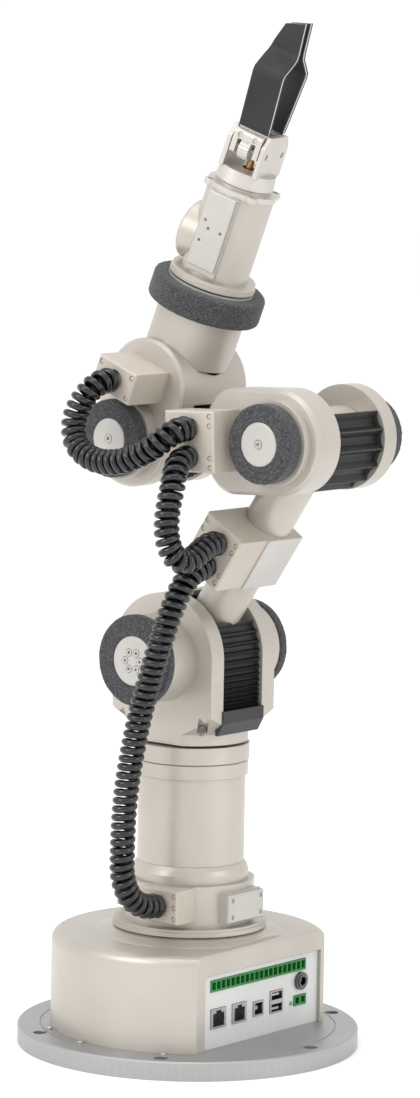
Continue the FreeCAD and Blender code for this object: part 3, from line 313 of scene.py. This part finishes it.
def grid_faces(rows, columns, close_rows=False, close_columns=False, start=0):
    """Quads over a grid of points stored row by row."""
    faces = []
    for i in range(rows if close_rows else rows - 1):
        for j in range(columns if close_columns else columns - 1):
            a = start + i * columns + j
            b = start + i * columns + (j + 1) % columns
            c = start + ((i + 1) % rows) * columns + (j + 1) % columns
            d = start + ((i + 1) % rows) * columns + j
            faces.append((a, b, c, d))
    return faces


# ---------------------------------------------------------------- coiled leads

COIL_R = 9.0 * MM
WIRE_D = 5.2 * MM
PITCH = 5.9 * MM
TURN_STEPS = 22
RING_STEPS = 10
DRAW_IN_TURNS = 0.55          # turns over which the helix closes in to its middle at a port
YAW_BLEND_START = 0.115       # just above the lower port
CUT_HEIGHT = 0.285            # height at which the base lead is cut in two

# Control points of the lines the coils follow, in metres, from the lower port of each to the upper.
ROUTE_BASE_LOWER = (
    (0.0155, -0.0530, 0.1085), (0.0155, -0.0665, 0.1085), (0.0130, -0.0805, 0.1155),
    (0.0125, -0.0900, 0.1320), (0.0145, -0.0920, 0.1560), (0.0155, -0.0920, 0.1810),
    (0.0180, -0.0910, 0.2070), (0.0215, -0.0898, 0.2270))
ROUTE_BASE_UPPER = (
    (0.0215, -0.0898, 0.2270), (0.0250, -0.0886, 0.2470), (0.0330, -0.0878, 0.2725),
    (0.0410, -0.0865, 0.2990), (0.0465, -0.0825, 0.3210), (0.0500, -0.0740, 0.3395),
    (0.0515, -0.0620, 0.3497), (0.0515, -0.0480, 0.3497))
ROUTE_UPPER_ARM = (
    (0.0606, -0.0480, 0.3670), (0.0606, -0.0600, 0.3670), (0.0615, -0.0720, 0.3615),
    (0.0620, -0.0840, 0.3560), (0.0595, -0.0945, 0.3590), (0.0565, -0.0995, 0.3710),
    (0.0555, -0.0995, 0.3850), (0.0565, -0.0980, 0.3985), (0.0570, -0.0950, 0.4085),
    (0.0550, -0.0905, 0.4195), (0.0529, -0.0815, 0.4268), (0.0529, -0.0720, 0.4268))
ROUTE_FOREARM = (
    (0.0520, -0.0720, 0.4467), (0.0520, -0.0820, 0.4467), (0.0505, -0.0910, 0.4435),
    (0.0445, -0.0965, 0.4365), (0.0320, -0.0985, 0.4290), (0.0130, -0.0995, 0.4220),
    (-0.0100, -0.0985, 0.4210), (-0.0285, -0.0975, 0.4300), (-0.0320, -0.0970, 0.4460),
    (-0.0270, -0.0955, 0.4600), (-0.0205, -0.0910, 0.4705), (-0.0169, -0.0825, 0.4758),
    (-0.0169, -0.0720, 0.4758))


def spline_points(route):
    """Points along the smooth NURBS line that has the route's points as its control points."""
    data = bpy.data.curves.new("route", "CURVE")
    data.dimensions = "3D"
    data.resolution_u = 32
    spline = data.splines.new("NURBS")
    spline.points.add(len(route) - 1)
    for control, place in zip(spline.points, route):
        control.co = (*place, 1.0)
    spline.order_u = 3
    spline.use_endpoint_u = True
    carrier = bpy.data.objects.new("route", data)
    mesh = bpy.data.meshes.new_from_object(carrier)
    points = [vertex.co.copy() for vertex in mesh.vertices]
    bpy.data.objects.remove(carrier)
    bpy.data.curves.remove(data)
    bpy.data.meshes.remove(mesh)
    return points


def even_steps(points, step):
    """Resample a line to nearly equal steps, keeping both ends."""
    lengths = [0.0]
    for before, after in zip(points, points[1:]):
        lengths.append(lengths[-1] + (after - before).length)
    count = max(2, round(lengths[-1] / step))
    result = []
    k = 0
    for i in range(count + 1):
        target = lengths[-1] * i / count
        while k < len(lengths) - 2 and lengths[k + 1] < target:
            k += 1
        span = lengths[k + 1] - lengths[k]
        share = (target - lengths[k]) / span if span > 0 else 0.0
        result.append(points[k].lerp(points[k + 1], min(max(share, 0.0), 1.0)))
    return result


def carried_normals(points, first):
    """A normal at each point, turned along the line without twisting about it."""
    tangents = []
    for i in range(len(points)):
        ahead = points[min(i + 1, len(points) - 1)]
        behind = points[max(i - 1, 0)]
        tangents.append((ahead - behind).normalized())
    normal = (first - tangents[0] * first.dot(tangents[0])).normalized()
    normals = [normal]
    for before, after in zip(tangents, tangents[1:]):
        normal = normal.copy()
        normal.rotate(before.rotation_difference(after))
        normal = (normal - after * normal.dot(after)).normalized()
        normals.append(normal)
    return tangents, normals


def coil_line(route_points):
    """Centreline of the wire: a helix round the route, drawn in to the middle at both ends."""
    step = PITCH / TURN_STEPS
    points = even_steps(route_points, step)
    tangents, normals = carried_normals(points, Vector((0, 0, 1)))
    radius = COIL_R - WIRE_D / 2
    draw_in = DRAW_IN_TURNS * TURN_STEPS
    line = []
    for i, (point, tangent, normal) in enumerate(zip(points, tangents, normals)):
        share = min(1.0, i / draw_in, (len(points) - 1 - i) / draw_in)
        share = share * share * (3 - 2 * share)
        angle = 2 * math.pi * i / TURN_STEPS
        side = tangent.cross(normal)
        line.append(point + (normal * math.cos(angle) + side * math.sin(angle)) * radius * share)
    return line


def wire_mesh(name, line):
    """Round wire along a line, with closed ends."""
    tangents, normals = carried_normals(line, Vector((0, 0, 1)))
    vertices = []
    for point, tangent, normal in zip(line, tangents, normals):
        side = tangent.cross(normal)
        for k in range(RING_STEPS):
            angle = 2 * math.pi * k / RING_STEPS
            vertices.append(point + (normal * math.cos(angle) + side * math.sin(angle)) * WIRE_D / 2)
    faces = grid_faces(len(line), RING_STEPS, close_columns=True)
    faces.append(tuple(reversed(range(RING_STEPS))))
    last = (len(line) - 1) * RING_STEPS
    faces.append(tuple(range(last, last + RING_STEPS)))
    return add_piece(name, vertices, faces, "lead")


def line_length(line):
    return sum((after - before).length for before, after in zip(line, line[1:]))


def add_lead(name, nodes, line, start, end):
    piece = wire_mesh(name, line)
    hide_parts(nodes)
    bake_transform(piece)
    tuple(start)
    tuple(end)
    tuple(line[0])
    line_length(line)
    [tuple(p) for p in line]


def build_leads():
    """The base lead is one coil in two pieces, cut at CUT_HEIGHT."""
    route = spline_points(ROUTE_BASE_LOWER) + spline_points(ROUTE_BASE_UPPER)[1:]
    whole = coil_line(route)
    below_cut = [point for point in route if point.z < CUT_HEIGHT]
    cut = round(line_length(below_cut) / line_length(route) * (len(whole) - 1))
    add_lead("coiled_lead_base_lower", "lead_base_lower", whole[:cut + 1],
             (0, 0, YAW_BLEND_START), (0, 0, CUT_HEIGHT - WIRE_D))
    add_lead("coiled_lead_base_upper", "lead_base_upper", whole[cut:],
             tuple(below_cut[-1]), ROUTE_BASE_UPPER[-2])
    add_lead("coiled_lead_upper_arm", "lead_upper_arm", coil_line(spline_points(ROUTE_UPPER_ARM)),
             ROUTE_UPPER_ARM[3], ROUTE_UPPER_ARM[-2])
    add_lead("coiled_lead_forearm", "lead_forearm", coil_line(spline_points(ROUTE_FOREARM)),
             ROUTE_FOREARM[3], ROUTE_FOREARM[-3])


# ---------------------------------------------------------------- foam pads

CORNER_STEPS = 6
RING_CORNER = 2.6 * MM
PAD_CORNER = 2.2 * MM
FOAM_STEP = 1.5 * MM
FOAM_AROUND = 150
FOAM_ROUGH = 0.22 * MM
HOLLOW_SCALE = 420.0
PIT_SCALE = 1300.0
PIT_SHARE = 0.5
BORE_MARGIN = 1.02            # points this near the bore keep their radius, so that it stays round


def rounded_profile(inner, outer, low, high, corner):
    """Closed (radius, height) outline of a flat ring with rounded outer corners."""
    outline = [(inner, low)]
    for first, middle in ((-math.pi / 2, low + corner), (0.0, high - corner)):
        for k in range(CORNER_STEPS + 1):
            angle = first + (math.pi / 2) * k / CORNER_STEPS
            outline.append((outer - corner + corner * math.cos(angle), middle + corner * math.sin(angle)))
    outline.append((inner, high))
    return outline


def densify(outline, longest):
    """Split long straight stretches of a closed outline."""
    result = []
    for (r0, h0), (r1, h1) in zip(outline, outline[1:] + outline[:1]):
        parts = max(1, math.ceil(math.hypot(r1 - r0, h1 - h0) / longest))
        for k in range(parts):
            result.append((r0 + (r1 - r0) * k / parts, h0 + (h1 - h0) * k / parts))
    return result


def foam_ring(outline, place):
    """Revolve an outline with small uneven hollows, and place it with a function of (x, y, height)."""
    points = []
    for i in range(FOAM_AROUND):
        angle = 2 * math.pi * i / FOAM_AROUND
        for radius, height in outline:
            spot = Vector((radius * math.cos(angle), radius * math.sin(angle), height))
            wobble = noise.noise(spot * HOLLOW_SCALE) + PIT_SHARE * noise.noise(spot * PIT_SCALE)
            push = FOAM_ROUGH * wobble
            grown = radius + (push if radius > outline[0][0] * BORE_MARGIN else 0.0)
            points.append(place(grown * math.cos(angle), grown * math.sin(angle), height + push))
    return points, grid_faces(FOAM_AROUND, len(outline), close_rows=True, close_columns=True)


def build_pad_pair(name, node, body, frame_matrix, outer, inner, y_in, y_out):
    vertices, faces = [], []
    outline = densify(rounded_profile(inner, outer, y_in, y_out, PAD_CORNER), FOAM_STEP)
    for side in (1, -1):
        def place(x, z, height):
            return frame_matrix @ Vector((x, side * height, z))
        points, quads = foam_ring(outline, place)
        offset = len(vertices)
        vertices += points
        for quad in quads:
            moved = tuple(index + offset for index in quad)
            faces.append(moved if side < 0 else tuple(reversed(moved)))
    piece = add_piece(name, vertices, faces, "foam")
    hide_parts(node)
    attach(piece, body)


def build_foam():
    build_pad_pair("shoulder_foam", "shoulder_foam_pads", "turret", TURRET_FRAME,
                   32.2 * MM, 17.5 * MM, 58.4 * MM, 66.6 * MM)
    build_pad_pair("elbow_foam", "elbow_foam_pads", "forearm", FOREARM_FRAME,
                   27.4 * MM, 15.2 * MM, 51.0 * MM, 63.2 * MM)
    build_pad_pair("wrist_foam", "wrist_foam_pads", "hand", HAND_FRAME,
                   27.4 * MM, 14.3 * MM, 47.3 * MM, 56.6 * MM)
    ring = rounded_profile(31.05 * MM, 40.4 * MM, 98.0 * MM, 117.0 * MM, RING_CORNER)

    def place(x, y, height):
        return HAND_FRAME @ Vector((x, y, height))
    points, faces = foam_ring(densify(ring, FOAM_STEP), place)
    piece = add_piece("hand_foam", points, faces, "foam")
    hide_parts("hand_foam_ring")
    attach(piece, "hand")


# ---------------------------------------------------------------- bellows

# Between two fold edges: the share of the way across, and the share of the full depth it has dipped.
FOLD_DIP = ((0.05, 0.16), (0.28, 0.86), (0.5, 1.0), (0.72, 0.86), (0.95, 0.16))
PLACES_ACROSS = (-1.0, -0.96, -0.5, 0.0, 0.5, 0.96, 1.0)
SIDE_EDGE = 0.98              # places beyond this share of the half width are the strip's side edges
SIDE_SINK = 0.55              # the side edges dip by this share of what the middle does


def folded_strip(path, marks, depth, half_width, thickness, frame_matrix, centre_y=0.0):
    """A pleated rubber strip, as its vertices, faces and painted light at each vertex: painted highlight on the
    fold edges, painted shade in the dips.

    path gives (x, z, outward x, outward z) for a share 0..1 of the strip's length. marks are the
    shares at which fold edges stand out, and between two of them the strip dips by depth.
    """
    stations = []
    for k, mark in enumerate(marks):
        if k:
            before = marks[k - 1]
            for share, fall in FOLD_DIP:
                stations.append((before + (mark - before) * share, fall))
        stations.append((mark, 0.0))
    vertices, fold_highlight_and_shade = [], []
    for layer in (0.0, thickness):
        for share, fall in stations:
            x, z, out_x, out_z = path(share)
            for place in PLACES_ACROSS:
                edge = 1.0 if abs(place) < SIDE_EDGE else SIDE_SINK
                sink = depth * fall * edge + layer
                point = Vector((x - out_x * sink, centre_y + place * half_width, z - out_z * sink))
                vertices.append(frame_matrix @ point)
                # painted light: 1 (painted highlight) on the outer fold edges, less down the folds, 0 (painted
                # shade) in the dips
                fold_highlight_and_shade.append(1.0 if fall == 0.0 and layer == 0.0 else max(0.0, 0.7 - fall))
    rows, columns = len(stations), len(PLACES_ACROSS)
    front = grid_faces(rows, columns)
    back = [tuple(reversed(face)) for face in grid_faces(rows, columns, start=rows * columns)]
    faces = front + back
    shift = rows * columns
    for i in range(rows - 1):
        for j, turn in ((0, False), (columns - 1, True)):
            a, b = i * columns + j, (i + 1) * columns + j
            quad = (a, b, b + shift, a + shift)
            faces.append(quad if not turn else tuple(reversed(quad)))
    for j in range(columns - 1):
        for i, turn in ((0, True), (rows - 1, False)):
            a, b = i * columns + j, i * columns + j + 1
            quad = (a, b, b + shift, a + shift)
            faces.append(quad if not turn else tuple(reversed(quad)))
    return vertices, faces, fold_highlight_and_shade


def add_bellows(name, strips, node):
    vertices, faces, fold_highlight_and_shade = [], [], []
    for strip_vertices, strip_faces, strip_fold_highlight_and_shade in strips:
        offset = len(vertices)
        vertices += strip_vertices
        faces += [tuple(index + offset for index in face) for face in strip_faces]
        fold_highlight_and_shade += strip_fold_highlight_and_shade
    piece = add_piece(name, vertices, faces, "bellows", smooth=False)
    # the fold attribute carries the painted fold-edge highlight and the painted shade in the dips
    values = piece.data.attributes.new("fold", "FLOAT", "POINT")
    values.data.foreach_set("value", fold_highlight_and_shade)
    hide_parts(node)
    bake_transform(piece)


def arc_path(radius, first, last):
    """Arc about the joint; angles in degrees from local X towards local Z."""
    def path(share):
        angle = math.radians(first + (last - first) * share)
        return (radius * math.cos(angle), radius * math.sin(angle), math.cos(angle), math.sin(angle))
    return path


def upright_path(x, low, bend, radius, last):
    """Straight up at x from low to bend, then round the joint to the angle last."""
    straight = bend - low
    first = math.atan2(bend, x)
    arc = radius * (math.radians(last) - first)
    whole = straight + arc

    def path(share):
        reach = share * whole
        if reach < straight:
            return (x, low + reach, 1.0, 0.0)
        angle = first + (reach - straight) / radius
        return (radius * math.cos(angle), radius * math.sin(angle), math.cos(angle), math.sin(angle))
    return path


def widening_marks(count, growth):
    """Fold edges whose spacing grows by the same factor from one to the next."""
    spans = [growth ** k for k in range(count)]
    marks, total = [0.0], sum(spans)
    for span in spans:
        marks.append(marks[-1] + span / total)
    return marks


def even_marks(count):
    return [k / count for k in range(count + 1)]


def build_bellows():
    front = folded_strip(upright_path(43.5 * MM, -36.0 * MM, 4.0 * MM, 43.7 * MM, 34.0),
                         widening_marks(13, 1.11), 3.2 * MM, 20.9 * MM, 1.2 * MM, TURRET_FRAME)
    rear = folded_strip(arc_path(43.0 * MM, 218.0, 80.0), even_marks(18), 3.4 * MM, 20.9 * MM,
                        1.2 * MM, TURRET_FRAME)
    add_bellows("shoulder_bellows_folds", [front, rear], "shoulder_bellows")
    outer = folded_strip(arc_path(36.0 * MM, 302.0, 60.0), even_marks(11), 5.4 * MM, 24.8 * MM,
                         1.4 * MM, FOREARM_FRAME, 5.0 * MM)
    add_bellows("elbow_bellows_folds", [outer], "elbow_bellows")
    over = folded_strip(arc_path(33.2 * MM, 222.0, 62.0), even_marks(16), 4.0 * MM, 20.6 * MM,
                        1.2 * MM, HAND_FRAME)
    under = folded_strip(arc_path(33.2 * MM, -75.0, -15.0), even_marks(8), 4.0 * MM, 20.6 * MM,
                         1.2 * MM, HAND_FRAME)
    add_bellows("wrist_bellows_folds", [over, under], "wrist_bellows")


# ---------------------------------------------------------------- stage, light and camera

FLOOR_HALF = 12.0
WORLD_STRENGTH = 1.05
LIT_POINT = (0.0, 0.0, 0.35)
SENSOR_MM = 36.0
LENS_MM = 137.0
CAMERA_PLACE = (1.8558, -2.2615, 0.6914)
CAMERA_RIGHT = (0.7739, 0.6331, 0.0171)
CAMERA_AHEAD = (-0.6275, 0.7701, -0.1146)


def build_stage():
    mesh = bpy.data.meshes.new("floor")
    corners = [(-FLOOR_HALF, -FLOOR_HALF, 0), (FLOOR_HALF, -FLOOR_HALF, 0),
               (FLOOR_HALF, FLOOR_HALF, 0), (-FLOOR_HALF, FLOOR_HALF, 0)]
    mesh.from_pydata(corners, [], [(0, 1, 2, 3)])
    material, tree, shader = new_material("floor_white", roughness=0.7, specular=0.2)
    tone = ramp(tree, noise_field(tree, 1.5).outputs["Fac"], [(0.3, grey(0.96)), (0.7, grey(0.98))])
    tree.links.new(tone.outputs["Color"], shader.inputs["Base Color"])
    mesh.materials.append(material)
    floor = bpy.data.objects.new("floor", mesh)
    bpy.context.scene.collection.objects.link(floor)


def add_area(name, place, target, size, power):
    data = bpy.data.lights.new(name, "AREA")
    data.shape = "RECTANGLE"
    data.size, data.size_y = size
    data.energy = power
    light = bpy.data.objects.new(name, data)
    light.location = place
    light.rotation_euler = (Vector(target) - Vector(place)).to_track_quat("-Z", "Y").to_euler()
    bpy.context.scene.collection.objects.link(light)


def build_light():
    world = bpy.data.worlds.new("studio")
    world.use_nodes = True
    background = world.node_tree.nodes["Background"]
    background.inputs["Color"].default_value = (1.0, 1.0, 1.0, 1.0)
    background.inputs["Strength"].default_value = WORLD_STRENGTH
    bpy.context.scene.world = world
    add_area("key", (-0.6, -2.2, 1.7), LIT_POINT, (1.3, 1.3), 26.0)
    add_area("fill", (2.4, 0.4, 1.0), LIT_POINT, (1.2, 1.8), 12.0)
    add_area("top", (0.2, -0.2, 2.4), LIT_POINT, (1.6, 1.6), 14.0)


def build_camera():
    data = bpy.data.cameras.new("camera")
    data.sensor_fit = "VERTICAL"
    data.sensor_height = SENSOR_MM
    data.lens = LENS_MM
    data.clip_end = 50.0
    camera = bpy.data.objects.new("camera", data)
    right = Vector(CAMERA_RIGHT)
    ahead = Vector(CAMERA_AHEAD).normalized()
    right = (right - ahead * right.dot(ahead)).normalized()
    up = right.cross(ahead)
    matrix = Matrix((right, up, -ahead)).transposed().to_4x4()
    matrix.translation = Vector(CAMERA_PLACE)
    camera.matrix_world = matrix
    bpy.context.scene.collection.objects.link(camera)
    bpy.context.scene.camera = camera
    bpy.context.scene.view_settings.view_transform = "Standard"


dress_cad()
build_leads()
build_foam()
build_bellows()
build_stage()
build_light()
build_camera()
